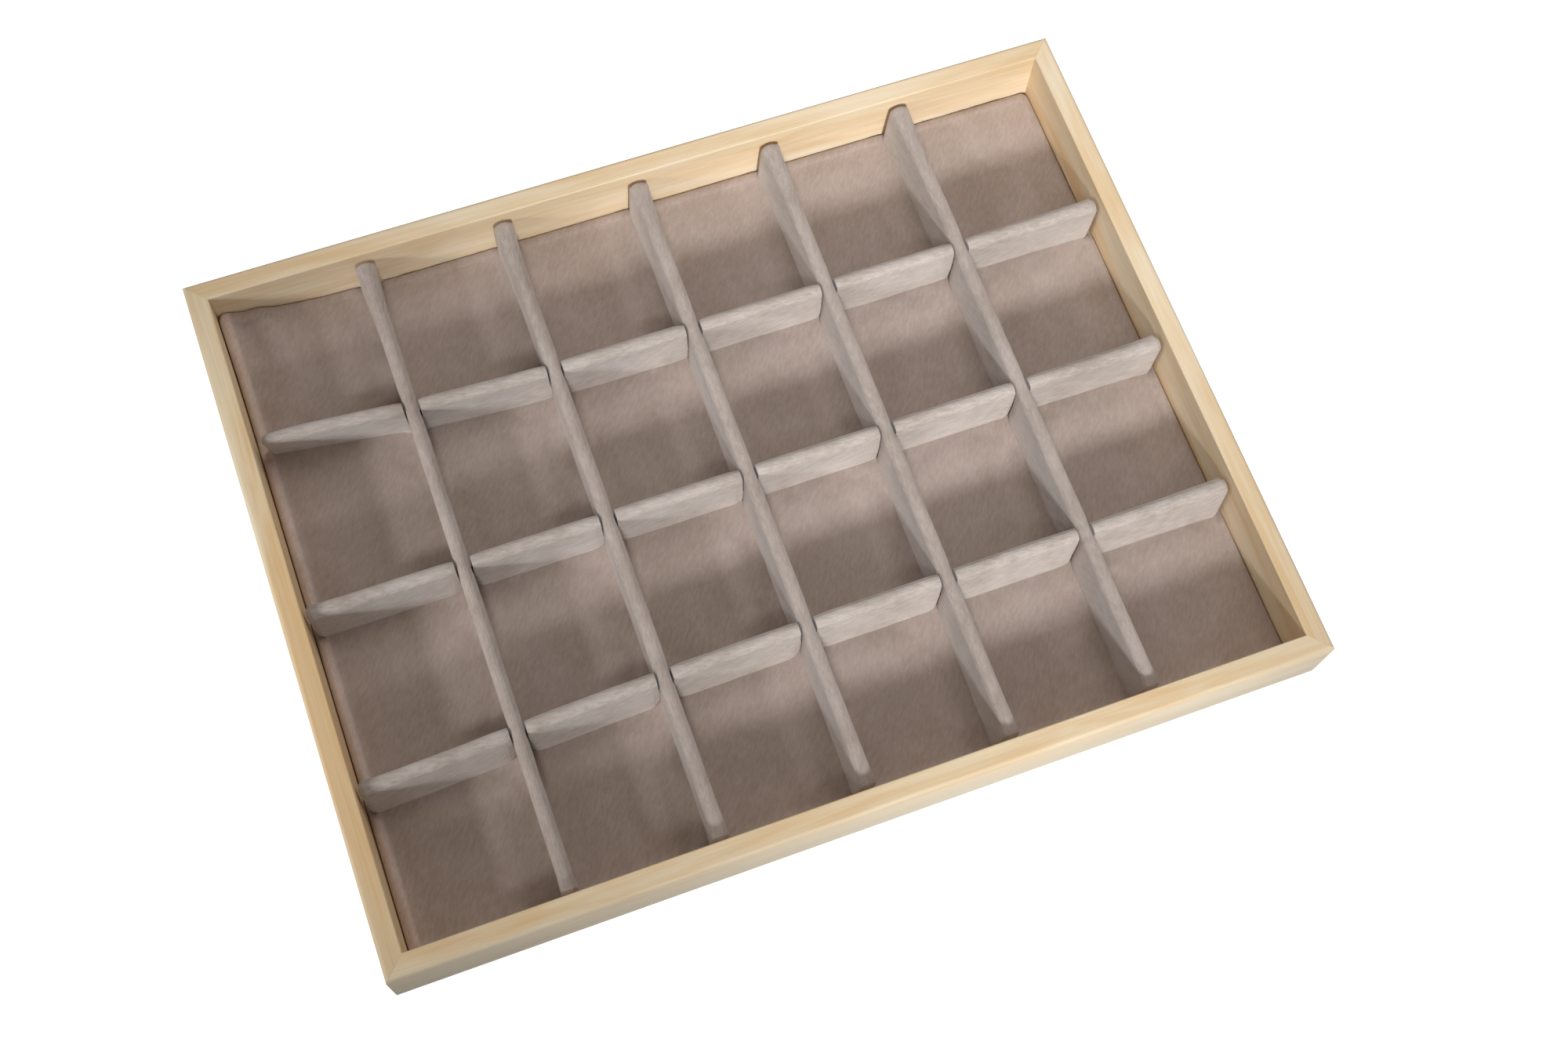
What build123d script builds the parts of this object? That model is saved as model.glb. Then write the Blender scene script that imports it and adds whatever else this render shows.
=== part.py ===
"""Jewellery display tray: a pine frame with a velvet pad and a loose grid of velvet dividers.

Millimetres. The origin is the middle of the face that the tray stands on, +X runs along
the tray's length to the right, +Y runs to the back rail and +Z is up.
"""
import os
from math import hypot

from build123d import *

# The pine frame
tray_length = 350.0
tray_width = 270.0
tray_height = 30.0
rail_thickness = 8.0
rail_outer_round = 1.5
rail_inner_round = 0.5

# The plywood base, held in a groove round the inside of the rails
base_lift = 1.0
base_thickness = 2.0
groove_depth = 4.0
groove_end_gap = 0.5

# The brads that pin the glued mitres, driven in through the left and right rails
brads_per_corner = 2
brad_radius = 0.6
brad_length = 20.0
brad_sink = 0.6
brad_hole_clearance = 0.05
brad_pitch = 12.0
brad_top_margin = 8.0

# The pad: a card and a thin foam, wrapped in velvet that turns under the card
pad_gap_left = 1.0
pad_gap_right = 3.0
pad_gap_front = 1.0
pad_gap_back = 1.8
pad_corner_radius = 2.5
pad_velvet_thickness = 0.6
pad_card_thickness = 1.0
pad_foam_thickness = 0.8
pad_turn_under = 10.0
pad_border_width = 3.2
pad_border_rise = 1.1
pad_border_round = 1.0
pad_valley_width = 0.4
pad_crown_rise = 1.2
pad_crown_sagitta = 0.95

# The dividers: a card core inside velvet that covers it all round
cross_divider_count = 5
cross_divider_pitch = 54.3
long_divider_count = 3
long_divider_pitch = 63.5
divider_core_thickness = 2.4
divider_velvet_thickness = 1.5
divider_drop = 3.5
divider_end_gap = 0.6
divider_end_slant = 1.0
divider_corner_radius = 2.5
divider_edge_round = 2.0
slot_clearance = 0.3

# What follows from these sizes
inner_length = tray_length - 2 * rail_thickness
inner_width = tray_width - 2 * rail_thickness
base_top = base_lift + base_thickness
card_bottom = base_top + pad_velvet_thickness
card_top = card_bottom + pad_card_thickness
divider_seat = card_top + pad_foam_thickness + pad_velvet_thickness
divider_top = tray_height - divider_drop
divider_thickness = divider_core_thickness + 2 * divider_velvet_thickness
slot_width = divider_thickness + 2 * slot_clearance
slot_meeting = (divider_seat + divider_top) / 2


def spaced(count, pitch):
    """Centre lines of `count` dividers, `pitch` apart, about the middle of the tray."""
    return [(i - (count - 1) / 2) * pitch for i in range(count)]


cross_lines = spaced(cross_divider_count, cross_divider_pitch)
long_lines = spaced(long_divider_count, long_divider_pitch)

os.makedirs("parts", exist_ok=True)


def save(piece, name):
    """Label a finished piece and write its STEP file."""
    piece.part.label = name
    export_step(piece.part, f"parts/{name}.step")


# Corner brads: headless wire nails, set a little below the outer face of the end rails
brad_y = (tray_width - rail_thickness) / 2
brad_levels = [tray_height - brad_top_margin - i * brad_pitch for i in range(brads_per_corner)]


def brad_planes(depth):
    """A plane for each brad, `depth` inside the end rail's outer face and facing inwards."""
    return [
        Plane((side * (tray_length / 2 - depth), end * brad_y, level), z_dir=(-side, 0, 0))
        for side in (-1, 1)
        for end in (-1, 1)
        for level in brad_levels
    ]


with BuildPart() as corner_brads:
    with Locations(*brad_planes(brad_sink)):
        Cylinder(brad_radius, brad_length, align=(Align.CENTER, Align.CENTER, Align.MIN))
save(corner_brads, "corner_brads")

# Frame rails: each is drawn on a plane whose x runs along it and whose y points outwards
rail_planes = {
    "back_rail": (Plane((0, tray_width / 2, 0), x_dir=(1, 0, 0)), tray_length),
    "front_rail": (Plane((0, -tray_width / 2, 0), x_dir=(-1, 0, 0)), tray_length),
    "left_rail": (Plane((-tray_length / 2, 0, 0), x_dir=(0, 1, 0)), tray_width),
    "right_rail": (Plane((tray_length / 2, 0, 0), x_dir=(0, -1, 0)), tray_width),
}
for rail_name, (rail_plane, rail_length) in rail_planes.items():
    rail_axis = Axis(rail_plane.origin, rail_plane.x_dir)
    inside_length = rail_length - 2 * rail_thickness
    with BuildPart() as rail:
        with BuildSketch(rail_plane):
            with BuildLine():
                Polyline(
                    (-rail_length / 2, 0),
                    (rail_length / 2, 0),
                    (inside_length / 2, -rail_thickness),
                    (-inside_length / 2, -rail_thickness),
                    close=True,
                )
            make_face()
        extrude(amount=tray_height)
        outer_edges = rail.edges().filter_by(rail_axis).sort_by(SortBy.LENGTH)[-2:]
        inner_edges = rail.edges().filter_by(rail_axis).sort_by(SortBy.LENGTH)[:2]
        fillet(outer_edges, radius=rail_outer_round)
        fillet(inner_edges.sort_by(Axis.Z)[-1], radius=rail_inner_round)
        with Locations((0, 0, base_lift)):
            Box(
                inner_length + 2 * groove_depth,
                inner_width + 2 * groove_depth,
                base_thickness,
                align=(Align.CENTER, Align.CENTER, Align.MIN),
                mode=Mode.SUBTRACT,
            )
        with Locations(*brad_planes(0)):
            Cylinder(
                brad_radius + brad_hole_clearance,
                brad_sink + brad_length,
                align=(Align.CENTER, Align.CENTER, Align.MIN),
                mode=Mode.SUBTRACT,
            )
    save(rail, rail_name)

# Base panel
with BuildPart() as base_panel:
    with BuildSketch(Plane.XY.offset(base_lift)):
        Rectangle(
            inner_length + 2 * (groove_depth - groove_end_gap),
            inner_width + 2 * (groove_depth - groove_end_gap),
        )
    extrude(amount=base_thickness)
save(base_panel, "base_panel")

# The pad
pad_length = inner_length - pad_gap_left - pad_gap_right
pad_width = inner_width - pad_gap_front - pad_gap_back
pad_middle = ((pad_gap_left - pad_gap_right) / 2, (pad_gap_front - pad_gap_back) / 2)
dome_inset = pad_border_width + pad_valley_width


def clear_spans(middle, length, lines):
    """The spans that the domes fill: between the dividers' channels and inside the border."""
    lows = [middle - length / 2 + dome_inset] + [line + slot_width / 2 for line in lines]
    highs = [line - slot_width / 2 for line in lines] + [middle + length / 2 - dome_inset]
    return list(zip(lows, highs))


def pad_form(skin, bottom):
    """The pad's shape, `skin` inside the velvet's outer face, from `bottom` up.

    It is a slab up to the dividers' seats with a rolled border round it and a low dome
    in each compartment. Each divider stands in a channel between the domes.
    """
    domes = []
    for x_low, x_high in clear_spans(pad_middle[0], pad_length, cross_lines):
        for y_low, y_high in clear_spans(pad_middle[1], pad_width, long_lines):
            middle = ((x_low + x_high) / 2, (y_low + y_high) / 2)
            corner_reach = hypot(x_high - x_low, y_high - y_low) / 2
            radius = (corner_reach**2 + pad_crown_sagitta**2) / (2 * pad_crown_sagitta)
            with BuildPart() as dome:
                with Locations((*middle, bottom)):
                    Box(
                        x_high - x_low - 2 * skin,
                        y_high - y_low - 2 * skin,
                        tray_height,
                        align=(Align.CENTER, Align.CENTER, Align.MIN),
                    )
                with Locations((*middle, divider_seat + pad_crown_rise - radius)):
                    Sphere(radius - skin, mode=Mode.INTERSECT)
            domes.append(dome.part)
    seat = divider_seat - skin
    channel = slot_width + 2 * skin
    with BuildPart() as form:
        with BuildSketch(Plane.XY.offset(seat)):
            with Locations(pad_middle):
                RectangleRounded(
                    pad_length - 2 * skin, pad_width - 2 * skin, pad_corner_radius - skin
                )
                Rectangle(
                    pad_length - 2 * (pad_border_width - skin),
                    pad_width - 2 * (pad_border_width - skin),
                    mode=Mode.SUBTRACT,
                )
        extrude(amount=pad_border_rise)
        fillet(form.faces().sort_by(Axis.Z)[-1].edges(), radius=pad_border_round - skin)
        with BuildSketch(Plane.XY.offset(seat)):
            with Locations(*[(line, 0) for line in cross_lines]):
                Rectangle(channel, tray_width)
            with Locations(*[(0, line) for line in long_lines]):
                Rectangle(tray_length, channel)
        extrude(amount=pad_border_rise, mode=Mode.SUBTRACT)
        with BuildSketch(Plane.XY.offset(bottom)):
            with Locations(pad_middle):
                RectangleRounded(
                    pad_length - 2 * skin, pad_width - 2 * skin, pad_corner_radius - skin
                )
        extrude(amount=seat - bottom)
        add(domes)
    return form.part


pad_outside = pad_form(0, base_top)
pad_inside = pad_form(pad_velvet_thickness, card_bottom)

with BuildPart() as pad_card:
    add(pad_inside)
    split(bisect_by=Plane.XY.offset(card_top), keep=Keep.BOTTOM)
save(pad_card, "pad_card")

with BuildPart() as pad_foam:
    add(pad_inside)
    split(bisect_by=Plane.XY.offset(card_top), keep=Keep.TOP)
save(pad_foam, "pad_foam")

with BuildPart() as pad_velvet:
    add(pad_outside)
    add(pad_inside, mode=Mode.SUBTRACT)
    with BuildSketch(Plane.XY.offset(base_top)):
        with Locations(pad_middle):
            Rectangle(pad_length - 2 * pad_turn_under, pad_width - 2 * pad_turn_under)
    extrude(amount=pad_velvet_thickness, mode=Mode.SUBTRACT)
save(pad_velvet, "pad_velvet")


# The dividers
def make_divider(name, plane, room, crossings, slot_low, slot_high):
    """Make a divider's velvet and its card core in `plane`, whose x runs along the divider.

    `room` is the clear length between the rails, and each of the `crossings` has a slot
    from the height `slot_low` to `slot_high`.
    """
    head = room / 2 - divider_end_gap
    foot = head - divider_end_slant
    with BuildSketch(plane) as side_view:
        with BuildLine():
            Polyline(
                (-foot, divider_seat),
                (foot, divider_seat),
                (head, divider_top),
                (-head, divider_top),
                close=True,
            )
        make_face()
        top_corners = side_view.vertices().sort_by(Axis.Y)[-2:]
        fillet(top_corners, radius=divider_corner_radius)
    with BuildSketch(plane) as core_view:
        add(side_view.sketch_local)
        offset(amount=-divider_velvet_thickness)
    with BuildSketch(plane) as slots:
        with Locations(*[(line, (slot_low + slot_high) / 2) for line in crossings]):
            Rectangle(slot_width, slot_high - slot_low)

    with BuildPart() as core:
        extrude(core_view.sketch, amount=divider_core_thickness / 2, both=True)
        extrude(slots.sketch, amount=divider_thickness, both=True, mode=Mode.SUBTRACT)
    save(core, f"{name}_core")

    with BuildPart() as velvet:
        extrude(side_view.sketch, amount=divider_thickness / 2, both=True)
        upper_edges = velvet.edges().filter_by_position(
            Axis.Z, divider_seat, divider_top, inclusive=(False, True)
        )
        long_way = Axis(plane.origin, plane.z_dir)
        fillet(upper_edges.filter_by(long_way, reverse=True), radius=divider_edge_round)
        extrude(core_view.sketch, amount=divider_core_thickness / 2, both=True, mode=Mode.SUBTRACT)
        extrude(slots.sketch, amount=divider_thickness, both=True, mode=Mode.SUBTRACT)
    save(velvet, f"{name}_velvet")


for number, line in enumerate(cross_lines, start=1):
    make_divider(
        f"cross_divider_{number}",
        Plane((line, 0, 0), x_dir=(0, 1, 0), z_dir=(1, 0, 0)),
        inner_width,
        long_lines,
        slot_low=divider_seat - slot_clearance,
        slot_high=slot_meeting + slot_clearance / 2,
    )

for number, line in enumerate(long_lines, start=1):
    make_divider(
        f"long_divider_{number}",
        Plane((0, line, 0), x_dir=(1, 0, 0), z_dir=(0, -1, 0)),
        inner_length,
        cross_lines,
        slot_low=slot_meeting - slot_clearance / 2,
        slot_high=divider_top + slot_clearance,
    )
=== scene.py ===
"""Jewellery display tray: a pine frame, a velvet pad and a loose grid of velvet dividers.

Everything is in metres in the tray's own frame: the origin is the middle of the face that
the tray stands on, +X runs along its length, +Y runs to the back rail and +Z is up.
"""
import math

import bmesh
import bpy
import numpy as np
from mathutils import Matrix, Vector


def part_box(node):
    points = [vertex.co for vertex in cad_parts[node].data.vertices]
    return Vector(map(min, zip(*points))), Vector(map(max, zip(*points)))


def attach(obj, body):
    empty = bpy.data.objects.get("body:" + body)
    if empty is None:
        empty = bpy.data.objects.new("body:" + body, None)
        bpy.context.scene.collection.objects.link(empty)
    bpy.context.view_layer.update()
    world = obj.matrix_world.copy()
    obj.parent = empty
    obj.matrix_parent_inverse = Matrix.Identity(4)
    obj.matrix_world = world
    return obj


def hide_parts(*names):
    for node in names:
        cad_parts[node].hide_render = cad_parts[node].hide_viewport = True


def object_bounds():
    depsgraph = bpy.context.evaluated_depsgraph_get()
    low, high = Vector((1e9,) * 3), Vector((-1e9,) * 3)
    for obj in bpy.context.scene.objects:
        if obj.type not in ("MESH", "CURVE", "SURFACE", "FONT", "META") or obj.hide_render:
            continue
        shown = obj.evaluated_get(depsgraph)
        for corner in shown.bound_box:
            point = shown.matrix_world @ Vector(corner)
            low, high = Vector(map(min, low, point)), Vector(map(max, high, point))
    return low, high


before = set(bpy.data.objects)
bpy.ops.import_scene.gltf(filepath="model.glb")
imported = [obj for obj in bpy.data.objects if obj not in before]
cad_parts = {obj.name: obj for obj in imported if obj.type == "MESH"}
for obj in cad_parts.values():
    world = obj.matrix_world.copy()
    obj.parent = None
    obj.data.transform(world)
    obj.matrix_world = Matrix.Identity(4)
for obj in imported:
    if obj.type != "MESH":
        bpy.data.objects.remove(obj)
cad_low, cad_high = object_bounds()
MM = 0.001


# Frame rails. Four strips of pale planed pine, 8 mm thick, with mitred and glued corners.
# The grain runs along each rail. The outer edges are sanded round, the outer faces are coloured
# greyer, more so towards the bottom, and a thin glue line shows at each mitre.
def shader_tree(name):
    """A new material with its node tree and its Principled shader."""
    material = bpy.data.materials.new(name)
    material.use_nodes = True
    return material, material.node_tree, material.node_tree.nodes["Principled BSDF"]


def add_node(tree, kind, inputs=(), **settings):
    """Add a node to a tree, set it up, and link or set the inputs that are given in order."""
    node = tree.nodes.new(kind)
    for key, value in settings.items():
        setattr(node, key, value)
    for socket, value in zip(node.inputs, inputs):
        if isinstance(value, bpy.types.NodeSocket):
            tree.links.new(value, socket)
        elif value is not None:
            socket.default_value = value
    return node


def maths(tree, operation, *values, clamp=False):
    """A math node's result."""
    node = add_node(tree, "ShaderNodeMath", values, operation=operation, use_clamp=clamp)
    return node.outputs[0]


def ramp(tree, factor, *stops):
    """A colour ramp's result. Each stop is a place from 0 to 1 and a colour or a grey."""
    node = tree.nodes.new("ShaderNodeValToRGB")
    tree.links.new(factor, node.inputs["Fac"])
    elements = node.color_ramp.elements
    while len(elements) < len(stops):
        elements.new(0.5)
    for element, (place, colour) in zip(elements, stops):
        element.position = place
        shade = colour if isinstance(colour, tuple) else (colour,) * 3
        element.color = (*shade, 1)
    return node.outputs["Color"]


def mix_colours(tree, factor, first, second, blend="MIX"):
    """A colour mix's result."""
    node = tree.nodes.new("ShaderNodeMix")
    node.data_type = "RGBA"
    node.blend_type = blend
    for key, value in (("Factor_Float", factor), ("A_Color", first), ("B_Color", second)):
        socket = next(s for s in node.inputs if s.identifier == key)
        if isinstance(value, bpy.types.NodeSocket):
            tree.links.new(value, socket)
        else:
            socket.default_value = value if key == "Factor_Float" else (*value, 1)
    return next(s for s in node.outputs if s.identifier == "Result_Color")


def stretched_noise(
    tree, stretch, scale, detail=3.0, roughness=0.5, distortion=0.0, turn=(0, 0, 0), shift=(0, 0, 0)
):
    """Noise over the object's own coordinates, turned and then stretched along one axis."""
    place = tree.nodes.new("ShaderNodeTexCoord").outputs["Object"]
    turned = add_node(tree, "ShaderNodeMapping", (place,))
    turned.inputs["Location"].default_value = shift
    turned.inputs["Rotation"].default_value = turn
    pulled = add_node(tree, "ShaderNodeMapping", (turned.outputs[0],))
    pulled.inputs["Scale"].default_value = stretch
    noise = tree.nodes.new("ShaderNodeTexNoise")
    tree.links.new(pulled.outputs[0], noise.inputs["Vector"])
    noise.inputs["Scale"].default_value = scale
    noise.inputs["Detail"].default_value = detail
    noise.inputs["Roughness"].default_value = roughness
    noise.inputs["Distortion"].default_value = distortion
    return noise.outputs["Fac"]


def bump(tree, shader, height, distance, strength=1.0):
    """Give the shader a bump of this height pattern and real depth."""
    node = tree.nodes.new("ShaderNodeBump")
    tree.links.new(height, node.inputs["Height"])
    node.inputs["Distance"].default_value = distance
    node.inputs["Strength"].default_value = strength
    tree.links.new(node.outputs[0], shader.inputs["Normal"])


RAIL_ROUND = 1.5 * MM
GLUE_LINE = 0.12 * MM


def pine(name, turn, place_in_board, painted_light_level):
    """Planed pine whose grain runs along X once it is turned by this angle."""
    material, tree, shader = shader_tree(name)
    shift = (0.31 * place_in_board, 0.17 * place_in_board, 0.05 * place_in_board)
    rings = stretched_noise(tree, (0.04, 1.0, 0.5), 240, 3.0, 0.5, 0.9, turn, shift)
    rays = stretched_noise(tree, (0.02, 1.0, 1.0), 1500, 3.0, 0.6, 0.0, turn, shift)
    clouds = stretched_noise(tree, (0.14, 1.0, 1.0), 60, 3.0, 0.6, 0.8, turn, shift)
    # painted_light_level is painted light: it makes this rail's pine paler where the tray stands in more
    # light.
    warm = tuple(c + (w - c) * painted_light_level for c, w in zip((0.74, 0.495, 0.25), (0.76, 0.565, 0.345)))
    pale = tuple(c + (w - c) * painted_light_level for c, w in zip((0.83, 0.665, 0.445), (0.85, 0.705, 0.515)))
    board = ramp(tree, clouds, (0.36, warm), (0.62, pale))
    late_wood = ramp(tree, rings, (0.4, 1.0), (0.52, (0.96, 0.9, 0.82)), (0.58, 0.97), (0.7, 1.0))
    grained = mix_colours(tree, 0.9, board, late_wood, "MULTIPLY")
    fine = ramp(tree, rays, (0.35, 0.92), (0.6, 1.0))
    streaked = mix_colours(tree, 0.6, grained, fine, "MULTIPLY")

    place = tree.nodes.new("ShaderNodeTexCoord").outputs["Object"]
    axes = add_node(tree, "ShaderNodeSeparateXYZ", (place,))
    across = maths(tree, "ABSOLUTE", axes.outputs["X"])
    along = maths(tree, "ABSOLUTE", axes.outputs["Y"])
    # The outer faces and rounded edges are coloured greyer, more so towards the bottom of the rail.
    past_x = maths(tree, "SUBTRACT", across, cad_high.x - RAIL_ROUND)
    past_y = maths(tree, "SUBTRACT", along, cad_high.y - RAIL_ROUND)
    past_edge = maths(tree, "DIVIDE", maths(tree, "MAXIMUM", past_x, past_y), RAIL_ROUND, clamp=True)
    from_rim = maths(tree, "SUBTRACT", cad_high.z, axes.outputs["Z"])
    down = maths(tree, "DIVIDE", from_rim, cad_high.z, clamp=True)
    greying = maths(tree, "MULTIPLY", past_edge, maths(tree, "MULTIPLY_ADD", down, 0.45, 0.4))
    greyed_outside = mix_colours(tree, greying, streaked, (0.52, 0.465, 0.375))
    mitre = maths(tree, "SUBTRACT", across, along)
    from_mitre = maths(tree, "ABSOLUTE", maths(tree, "SUBTRACT", mitre, cad_high.x - cad_high.y))
    glue = maths(tree, "SUBTRACT", 1.0, maths(tree, "DIVIDE", from_mitre, 2 * GLUE_LINE), clamp=True)
    joined = mix_colours(tree, maths(tree, "MULTIPLY", glue, 0.3), greyed_outside, (0.42, 0.3, 0.18))
    tree.links.new(joined, shader.inputs["Base Color"])
    shine = ramp(tree, rays, (0.3, 0.62), (0.7, 0.5))
    tree.links.new(shine, shader.inputs["Roughness"])
    shader.inputs["Specular IOR Level"].default_value = 0.3
    bump(tree, shader, maths(tree, "ADD", rings, rays), 0.05 * MM)
    return material


END_GRAIN = (0, 0, math.radians(90))
# The rails' pine differs only in painted light: the back and right rails are coloured paler than the
# front and left ones, as if more light fell on them.
for number, (rail, turn, painted_light_level) in enumerate((
    ("front_rail", (0, 0, 0), 0.35),
    ("back_rail", (0, 0, 0), 0.9),
    ("left_rail", END_GRAIN, 0.3),
    ("right_rail", END_GRAIN, 0.7),
)):
    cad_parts[rail].material_slots[0].material = pine(f"pine_{rail}", turn, number, painted_light_level)


# Base panel. Thin plywood in the rails' groove. It shows only from below, between the rails.
def plywood():
    """Sanded plywood, plainer and greyer than the rails, with its grain across the tray."""
    material, tree, shader = shader_tree("plywood")
    figure = stretched_noise(tree, (1.0, 0.06, 1.0), 120, 4.0, 0.6, 1.2)
    fibres = stretched_noise(tree, (1.0, 0.02, 1.0), 1400, 2.0, 0.6)
    sheet = ramp(tree, figure, (0.3, (0.57, 0.42, 0.26)), (0.7, (0.72, 0.56, 0.37)))
    fine = ramp(tree, fibres, (0.3, 0.86), (0.62, 1.0))
    coloured = mix_colours(tree, 0.7, sheet, fine, "MULTIPLY")
    tree.links.new(coloured, shader.inputs["Base Color"])
    shader.inputs["Roughness"].default_value = 0.7
    bump(tree, shader, fibres, 0.05 * MM)
    return material


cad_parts["base_panel"].material_slots[0].material = plywood()


# Corner brads. Two headless wire nails in each corner, driven through the end rails into
# the long ones. Only their cut ends show, sunk a little below the wood.
def brad_wire():
    """Drawn steel wire, lightly scored along its length."""
    material, tree, shader = shader_tree("brad_wire")
    scores = stretched_noise(tree, (0.1, 1.0, 1.0), 4000, 2.0)
    steel = ramp(tree, scores, (0.3, (0.42, 0.42, 0.43)), (0.7, (0.62, 0.62, 0.63)))
    tree.links.new(steel, shader.inputs["Base Color"])
    shader.inputs["Metallic"].default_value = 1.0
    shader.inputs["Roughness"].default_value = 0.35
    return material


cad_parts["corner_brads"].material_slots[0].material = brad_wire()


# Pad card. Stiff grey pulp board under the foam. It shows from below once the pad is lifted.
def pulp_board(name):
    """Unbleached grey board with flecks of darker and lighter pulp."""
    material, tree, shader = shader_tree(name)
    flecks = stretched_noise(tree, (1.0, 1.0, 1.0), 900, 4.0, 0.7)
    clouds = stretched_noise(tree, (1.0, 1.0, 1.0), 60, 2.0)
    board = ramp(tree, clouds, (0.3, (0.25, 0.235, 0.21)), (0.7, (0.33, 0.31, 0.28)))
    pulp = ramp(tree, flecks, (0.3, 0.75), (0.5, 1.0), (0.75, 1.25))
    coloured = mix_colours(tree, 0.8, board, pulp, "MULTIPLY")
    tree.links.new(coloured, shader.inputs["Base Color"])
    shader.inputs["Roughness"].default_value = 0.9
    bump(tree, shader, flecks, 0.06 * MM)
    return material


grey_board = pulp_board("grey_board")
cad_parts["pad_card"].material_slots[0].material = grey_board


# Dividers. Card boards wrapped in velvet, three along the tray and five across it. The long
# ones are slotted from above and the cross ones from below. They were put in by hand, so
# they lean a little, and the long ones fan out at the left. All lift out straight up.
SLEEVE_COLUMNS = 241
SLEEVE_ROWS = 13
SLEEVE_TOP_ROWS = 9
LONG_COUNT, CROSS_COUNT = 3, 5
CROSS_PITCH = 54.3 * MM
LONG_LINES = (-62.8 * MM, -1.3 * MM, 60.8 * MM)
FLARES = (-5.3 * MM, 0.0, 6.9 * MM)
FLARE_REACHES = (88 * MM, 60 * MM, 60 * MM)
FLARE_POWER = 1.6
LONG_TRIMS = (0.0, 0.0, 2.4 * MM)
LONG_LEANS = (-2.4 * MM, -0.8 * MM, -0.4 * MM)
LONG_END_LEANS = (0.0, 0.0, 4.8 * MM)
LONG_FULLNESS = (0.22, 0.22, -0.2)
LONG_FAR_FULLNESS = 0.32
CROSS_FULLNESS, CROSS_FAR_FULLNESS = 0.22, 0.52
CROSS_LEANS = (0.0, 0.0, -0.6 * MM, -1.2 * MM, -1.7 * MM)
SLEEVE_THICKNESS = 5.4 * MM
BOARD_THICKNESS = 2.4 * MM
SLOT_WIDTH = 6.0 * MM
SLOT_CLEARANCE = 0.3 * MM
SLOT_LIP = 0.12 * MM
PINCH_REACH = 1.6 * MM
PINCH_NARROWING = 160.0
CLOSED_SHOULDER = 0.25
PINCH_UPRIGHT = 0.75
END_SLANT = 1.0 * MM
END_DRAW = 14 * MM
END_GATHER, END_GATHER_POWER = 4 * MM, 0.7
NOSE_LENGTH, NOSE_LEAST = 2 * MM, 0.4
NEAR_FOLD_REACH, FAR_FOLD_REACH = 6 * MM, 11 * MM
TOP_WAVES, SIDE_WAVES, BEND_WAVES = 45.0, 70.0, 28.0
RIPPLE_SWELL, RIPPLE_BEND = 260.0, 0.8
SHARP_EDGE = math.radians(50)
cross_low, cross_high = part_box("cross_divider_1_velvet")
SEAT = cross_low.z
DIVIDER_TOP = cross_high.z
SLOT_MEETING = (SEAT + DIVIDER_TOP) / 2
LONG_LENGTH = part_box("long_divider_1_velvet")[1].x * 2
CROSS_LENGTH = cross_high.y * 2


def flare_share(number, x):
    """How much of a long divider's flare is left at this X, from 1 at its left end."""
    from_end = np.maximum(x + LONG_LENGTH / 2, 0) / FLARE_REACHES[number - 1]
    return np.exp(-(from_end**FLARE_POWER))


def long_line(number, x):
    """The Y of a long divider's top, counted from the front, at this X."""
    return LONG_LINES[number - 1] + FLARES[number - 1] * flare_share(number, x)


def cross_line(number):
    """The X of a cross divider's middle, counted from the left."""
    return (number - 3) * CROSS_PITCH


def velvet(name, stretch, turn, colour, contrast, painted_highlight, sheen):
    """Short-pile velvet. The nap was brushed one way, so the colour runs in faint strokes.

    painted_highlight is an axis, a place on it, a distance and a gain: past that place the colour is
    made that many times paler once the distance is behind it, a painted highlight for more light
    there. sheen is how much of a low light the tips of the pile throw back.
    """
    material, tree, shader = shader_tree(name)
    strokes = stretched_noise(tree, stretch, 900, 3.0, 0.6, 0.3, turn)
    brushed = stretched_noise(tree, (1.0, 1.0, 1.0), 42, 3.0, 0.55, 0.6)
    pile = stretched_noise(tree, (1.0, 1.0, 1.0), 3200, 2.0, 0.6)
    nap = maths(tree, "ADD", maths(tree, "MULTIPLY", strokes, 0.5), maths(tree, "MULTIPLY", brushed, 0.5))
    dark = tuple(c * (1 - contrast) * t for c, t in zip(colour, (1.02, 0.99, 0.94)))
    light = tuple(min(c * (1 + contrast) * t, 1) for c, t in zip(colour, (0.98, 1.0, 1.04)))
    cloth = ramp(tree, nap, (0.36, dark), (0.64, light))
    tips = ramp(tree, pile, (0.3, 0.9), (0.7, 1.06))
    coloured = mix_colours(tree, 0.8, cloth, tips, "MULTIPLY")
    # Painted highlight: past a place along one axis the colour is made paler, standing in for more light
    # falling there.
    axis, start, distance, gain = painted_highlight
    place = tree.nodes.new("ShaderNodeTexCoord").outputs["Object"]
    along = add_node(tree, "ShaderNodeSeparateXYZ", (place,)).outputs[axis]
    past = maths(tree, "DIVIDE", maths(tree, "SUBTRACT", along, start), distance, clamp=True)
    highlighted = mix_colours(tree, 1.0, coloured, (gain,) * 3, "MULTIPLY")
    coloured = mix_colours(tree, past, coloured, highlighted)
    tree.links.new(coloured, shader.inputs["Base Color"])
    shader.inputs["Roughness"].default_value = 0.95
    shader.inputs["Specular IOR Level"].default_value = 0.1
    shader.inputs["Sheen Weight"].default_value = sheen
    shader.inputs["Sheen Roughness"].default_value = 0.65
    shader.inputs["Sheen Tint"].default_value = (1.0, 1.0, 1.0, 1)
    bump(tree, shader, maths(tree, "ADD", strokes, pile), 0.08 * MM, 0.8)
    return material


NAP_TILT, NAP_TURN = math.radians(16), math.radians(12)
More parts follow.
